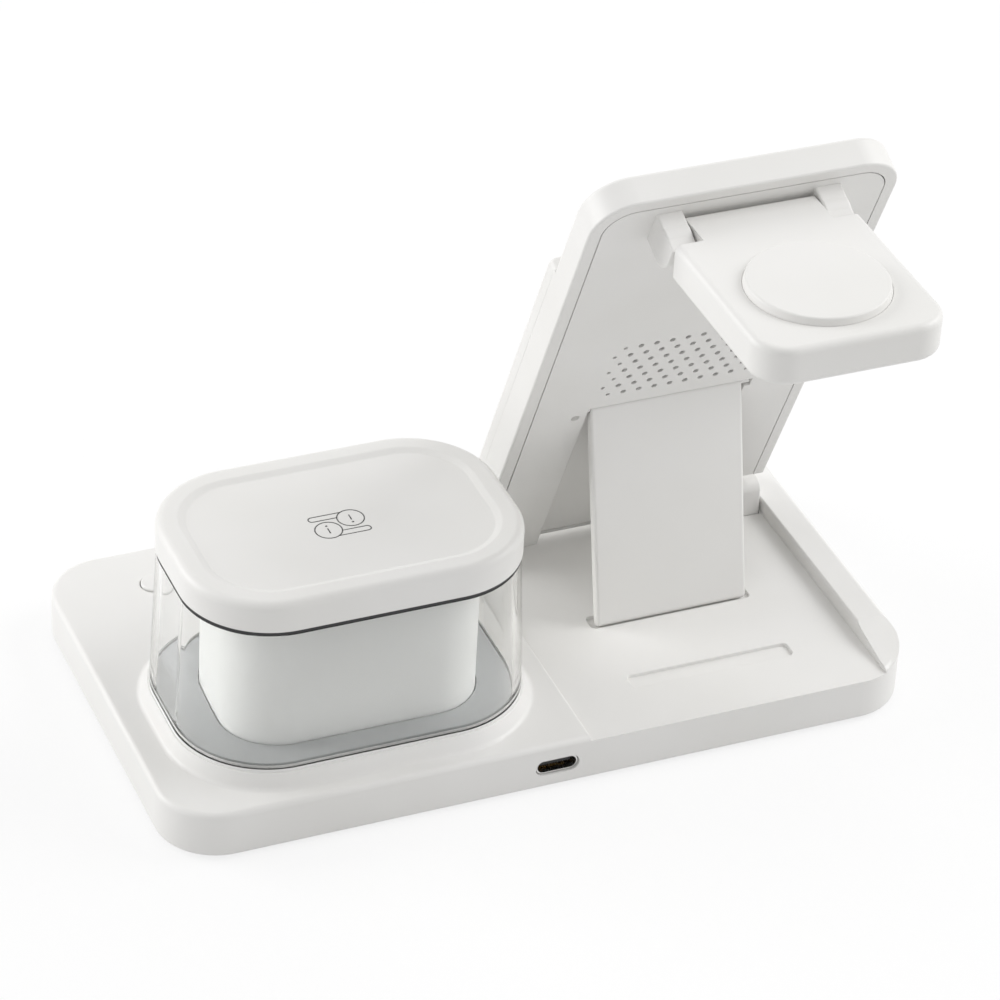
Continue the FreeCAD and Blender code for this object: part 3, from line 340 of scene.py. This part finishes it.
def makeContacts(spec):
    # each contact is a flat bar along Y, repeated along X by pitch and mirrored to the tongue's lower face
    low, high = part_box("port_tongue")
    middle = (low.z + high.z) / 2
    tip = high.y - spec["tipGap"] * mm
    x = (np.arange(spec["count"]) - (spec["count"] - 1) / 2) * spec["pitch"] * mm
    bars = []
    for side in (1, -1):
        z = middle + side * spec["halfTongue"] * mm
        for centre in x:
            path = np.array([[centre, tip - spec["length"] * mm], [centre, tip]])
            points, faces = inkLine(path, False, spec["width"] * mm, side * spec["thick"] * mm, z)
            bars.append((points, faces if side > 0 else faces[:, ::-1]))
    points, faces = joined(bars)
    return piece("port_contacts", points, faces, goldFlash, "base")


makeContacts(contacts)

# black sheet behind the vent holes: painted shade that makes the holes look dark. Reach runs up the panel
# from its hinge axis, and depth from that axis towards the phone's side
ventShadeSheet = {"tiltDeg": 65.8, "reach": (52.6, 71.3), "halfWidth": 17.7, "depth": (-2.66, -2.5)}
# painted shade for the vent holes: black, with a dull coarse texture
ventShadeBlack = mouldedPlastic("black_vent_shade_sheet", {
    **absLook, "dark": "#121212", "light": "#181818", "grainMm": 0.4, "rough": 0.8, "bump": 0.6})


def makeVentShadeSheet(spec):
    # the painted shade sheet, a flat box in the panel's plane: hinge + reach * along + depth * out, and X across
    hinge = np.array(next(j["pos_m"] for j in frame["joints"] if j["name"] == "panel_tilt"))
    tilt = math.radians(spec["tiltDeg"])
    along = np.array([0, math.cos(tilt), math.sin(tilt)])
    out = np.array([0, -math.sin(tilt), math.cos(tilt)])
    across = np.array([1.0, 0, 0])
    side = np.array([-1, 1, 1, -1])[:, None] * spec["halfWidth"]
    reach = np.repeat(spec["reach"], 2)[:, None]
    loop = side * across + reach * along
    points = hinge + np.vstack([loop + depth * out for depth in spec["depth"]]) * mm
    faces = np.vstack([gridFaces(2, 4, wrapColumns=True)[:, ::-1], [[3, 2, 1, 0]], [[4, 5, 6, 7]]])
    return piece("grille_shade_sheet", points, faces, ventShadeBlack, "panel")


makeVentShadeSheet(ventShadeSheet)
print("pieces made")


# camera, at the photograph's viewing angle
photoView = {"azimuth": 23.958, "elevation": 34.605, "roll": 3.126, "distance": 0.88308,
             "target": (-0.00432, 0.0, 0.039309), "lens": 157.07, "sensor": 36.0}


def makeCamera(view):
    # on a sphere round the target, at the azimuth from +Y towards +X, then rolled about the line of sight
    azimuth, elevation, roll = (math.radians(view[key]) for key in ("azimuth", "elevation", "roll"))
    flat = math.cos(elevation)
    back = Vector((math.sin(azimuth) * flat, math.cos(azimuth) * flat, math.sin(elevation)))
    level = Vector((0, 0, 1)).cross(back).normalized()
    upright = back.cross(level)
    right = math.cos(roll) * level + math.sin(roll) * upright
    up = math.cos(roll) * upright - math.sin(roll) * level
    data = bpy.data.cameras.new("photo_camera")
    data.lens, data.sensor_width, data.sensor_fit = view["lens"], view["sensor"], "HORIZONTAL"
    data.clip_start, data.clip_end = 0.01, 50
    camera = bpy.data.objects.new("photo_camera", data)
    place = Vector(view["target"]) + back * view["distance"]
    camera.matrix_world = Matrix((
        (right.x, up.x, back.x, place.x),
        (right.y, up.y, back.y, place.y),
        (right.z, up.z, back.z, place.z),
        (0, 0, 0, 1)))
    bpy.context.scene.collection.objects.link(camera)
    bpy.context.scene.camera = camera
    return camera


makeCamera(photoView)

# studio: pale floor, white surround and a soft lamp at each end of the base, so the long side
# that holds the charge port stays a little darker than the tops
studio = {"floorHex": "#E6E6E6", "floorWhite": 0.75, "floorGlow": 1.06, "floorReach": 6.0, "floorDrop": 0.05,
          "world": 0.6, "aim": (0, 0, 0.04),
          "lamps": {"night_light_end": {"watts": 9.5, "size": 0.9, "place": (1.05, -0.7, 0.55)},
                    "stand_end": {"watts": 8.8, "size": 0.9, "place": (-1.05, 0.12, 0.86)}}}


def seenRays(tree):
    # 1 for rays from the camera, from gloss and through glass, which all show the white surround
    path = add(tree, "ShaderNodeLightPath")
    seen = path.outputs["Is Camera Ray"]
    for ray in ("Is Glossy Ray", "Is Transmission Ray"):
        either = add(tree, "ShaderNodeMath", {"operation": "MAXIMUM"})
        tree.links.new(seen, either.inputs[0])
        tree.links.new(path.outputs[ray], either.inputs[1])
        seen = either.outputs[0]
    return seen


def makeFloor(spec):
    # a flat sheet just under the object: part matt, which takes the shadow, and part white where it is seen
    material, tree, output = blank("matt_white_sweep")
    diffuse = add(tree, "ShaderNodeBsdfDiffuse", Color=linear(spec["floorHex"]))
    glow = add(tree, "ShaderNodeEmission", Strength=spec["floorGlow"])
    share = add(tree, "ShaderNodeMath", {"operation": "MULTIPLY"})
    tree.links.new(seenRays(tree), share.inputs[0])
    share.inputs[1].default_value = spec["floorWhite"]
    mix = add(tree, "ShaderNodeMixShader", Fac=share.outputs[0])
    tree.links.new(diffuse.outputs[0], mix.inputs[1])
    tree.links.new(glow.outputs[0], mix.inputs[2])
    tree.links.new(mix.outputs[0], output.inputs["Surface"])
    reach, z = spec["floorReach"], -spec["floorDrop"] * mm
    mesh = bpy.data.meshes.new("floor")
    corners = [(-reach, -reach, z), (reach, -reach, z), (reach, reach, z), (-reach, reach, z)]
    mesh.from_pydata(corners, [], [(0, 1, 2, 3)])
    mesh.materials.append(material)
    floor = bpy.data.objects.new("floor", mesh)
    bpy.context.scene.collection.objects.link(floor)


def makeWorld(spec):
    # even light all round, white where it is seen
    world = bpy.data.worlds.new("white_studio")
    bpy.context.scene.world = world
    world.use_nodes = True
    tree = world.node_tree
    tree.nodes.clear()
    strength = add(tree, "ShaderNodeMapRange", Value=seenRays(tree), To_Min=spec["world"], To_Max=1.0)
    light = add(tree, "ShaderNodeBackground", Color=(1, 1, 1, 1), Strength=strength.outputs["Result"])
    output = add(tree, "ShaderNodeOutputWorld")
    tree.links.new(light.outputs[0], output.inputs["Surface"])


def makeLamp(name, spec, aim):
    # round area lamp that faces the middle of the object
    data = bpy.data.lights.new(name, "AREA")
    data.energy, data.shape, data.size = spec["watts"], "DISK", spec["size"]
    lamp = bpy.data.objects.new(name, data)
    place = Vector(spec["place"])
    facing = (place - Vector(aim)).to_track_quat("Z", "Y")
    lamp.matrix_world = Matrix.LocRotScale(place, facing, None)
    bpy.context.scene.collection.objects.link(lamp)


makeFloor(studio)
makeWorld(studio)
for name, spec in studio["lamps"].items():
    makeLamp(name, spec, studio["aim"])
bpy.context.scene.view_settings.view_transform = "Standard"
print("camera, floor and lamps placed")
